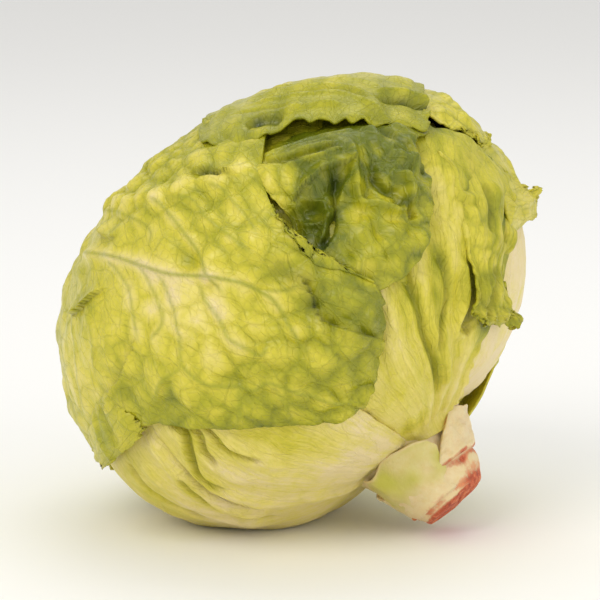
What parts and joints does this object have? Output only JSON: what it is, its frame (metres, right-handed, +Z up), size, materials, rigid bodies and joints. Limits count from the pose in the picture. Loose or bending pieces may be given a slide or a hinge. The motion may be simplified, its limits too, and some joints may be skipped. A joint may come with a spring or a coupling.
{
  "type": "iceberg lettuce head",
  "caption": "Round head of crisp lettuce lying on its side, wrapped in loose crumpled outer leaves, with a short cut stem.",
  "frame": {"origin": "middle of the flat where the head rests on its lowest leaf", "axes": "+Z up; -Y faces the side where the front leaf's free edge shows; the stem points to +X, down and a little to -Y"},
  "size_m": [0.1534, 0.1656, 0.1491],
  "materials": {
    "outer_leaf": "waxy yellow-green leaf with a fine vein network",
    "pale_leaf": "waxy cream-yellow ribbed leaf base with greener margins",
    "inner_leaf": "smooth young leaf",
    "stem": "moist cream flesh with a red-brown cut face"
  },
  "bodies": {
    "root": {"leaf_front": "outer_leaf", "leaf_top": "outer_leaf", "leaf_right": "pale_leaf", "leaf_back_right": "outer_leaf", "leaf_lower_front": "pale_leaf", "leaf_far_right": "pale_leaf", "leaf_lower": "pale_leaf", "leaf_back": "outer_leaf", "leaf_inner_front": "inner_leaf", "leaf_inner_back": "inner_leaf", "stub_right": "stem", "stub_front": "stem", "stub_under": "stem", "heart": "inner_leaf", "stem": "stem"}
  },
  "joints": []
}
